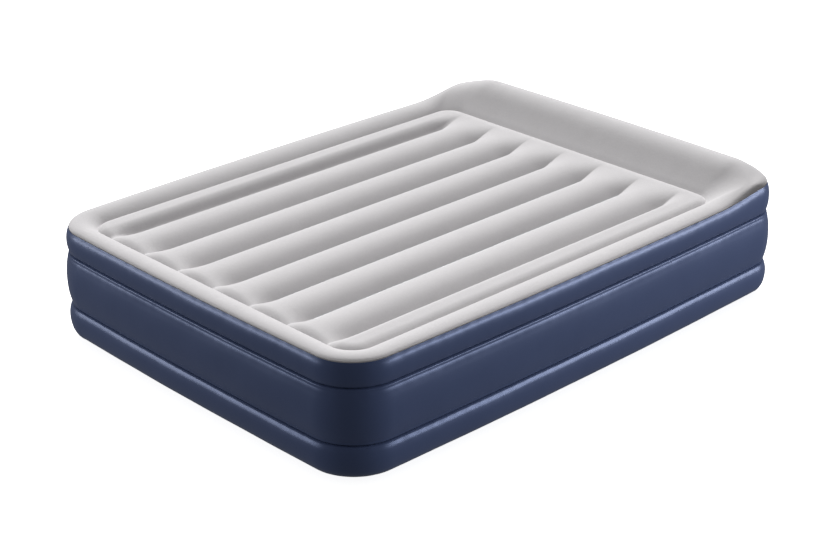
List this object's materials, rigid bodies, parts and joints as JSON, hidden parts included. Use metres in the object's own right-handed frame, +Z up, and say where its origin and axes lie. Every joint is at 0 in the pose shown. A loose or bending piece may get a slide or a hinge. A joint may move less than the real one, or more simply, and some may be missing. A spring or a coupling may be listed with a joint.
{
  "type": "air mattress",
  "caption": "Double-height queen airbed with a raised pillow end, lengthways channels, three-bulge sides and a built-in pump in the head wall.",
  "frame": {"origin": "middle of the footprint, on the surface the bed stands on", "axes": "+Z up, +Y towards the pillow end, +X towards the sleeper's left side when lying on the back"},
  "size_m": [1.52, 2.0298, 0.462],
  "materials": {
    "flocked_top": "fine velvety flock on PVC film, light warm grey",
    "side_film": "satin navy PVC film",
    "inner_film": "plain pale PVC film",
    "dark_plastic": "fine-textured black moulding",
    "grey_plastic": "fine-textured dark grey moulding",
    "white_plastic": "plain off-white moulding",
    "steel": "zinc-plated steel",
    "soft_rubber": "soft black rubber"
  },
  "bodies": {
    "bed": {"top_sheet": "flocked_top", "upper_side_band": "side_film", "middle_side_band": "side_film", "lower_side_band": "side_film", "base_sheet": "side_film", "channel_beam_1": "inner_film", "channel_beam_2": "inner_film", "channel_beam_3": "inner_film", "channel_beam_4": "inner_film", "channel_beam_5": "inner_film", "channel_beam_6": "inner_film", "channel_beam_7": "inner_film", "pillow_beam": "inner_film", "rim_tie_left": "inner_film", "rim_tie_right": "inner_film", "rim_tie_foot": "inner_film", "base_tie_left": "inner_film", "base_tie_right": "inner_film", "base_tie_foot": "inner_film", "base_tie_head": "inner_film", "pump_housing": "grey_plastic", "face_plate": "grey_plastic", "drum_sleeve": "grey_plastic", "intake_grille": "dark_plastic", "switch_body": "dark_plastic", "cord_bay": "dark_plastic", "motor_end_cap": "dark_plastic", "volute": "white_plastic", "volute_cover": "white_plastic", "door_hinge_pin": "steel", "motor_can": "steel", "face_screw_1": "steel", "face_screw_2": "steel", "face_screw_3": "steel", "face_screw_4": "steel", "cover_screw_1": "steel", "cover_screw_2": "steel", "cover_screw_3": "steel", "cover_screw_4": "steel", "motor_screw_1": "steel", "motor_screw_2": "steel", "face_gasket": "soft_rubber", "cord_gland": "soft_rubber"},
    "dial": {"control_dial": "dark_plastic", "diverter_drum": "white_plastic"},
    "door": {"cord_bay_door": "grey_plastic"},
    "rocker": {"rocker_switch": "dark_plastic"},
    "rotor": {"motor_shaft": "steel", "impeller": "white_plastic"},
    "valve": {"valve_plate": "white_plastic", "valve_seal": "soft_rubber", "valve_stem": "white_plastic", "spring_clip": "steel", "valve_spring": "steel"}
  },
  "joints": [
    {"name": "dial_turn", "type": "hinge", "parent": "bed", "child": "dial", "pos_m": [-0.455, 0.9988, 0.217], "axis": [0, 1, 0], "range_deg": [-90, 90]},
    {"name": "door_swing", "type": "hinge", "parent": "bed", "child": "door", "pos_m": [-0.3545, 0.9973, 0.1685], "axis": [-1, 0, 0], "range_deg": [0, 100]},
    {"name": "switch_rock", "type": "hinge", "parent": "bed", "child": "rocker", "pos_m": [-0.404, 0.9943, 0.253], "axis": [1, 0, 0], "range_deg": [0, 14]},
    {"name": "rotor_spin", "type": "hinge", "parent": "bed", "child": "rotor", "pos_m": [-0.35, 0.9988, 0.217], "axis": [0, 1, 0], "continuous": true},
    {"name": "valve_lift", "type": "slide", "parent": "bed", "child": "valve", "axis": [0, -1, 0], "range_m": [0, 0.01], "stiffness_N_per_m": 300, "springref_m": -0.004, "deforming": ["valve_spring"]}
  ]
}
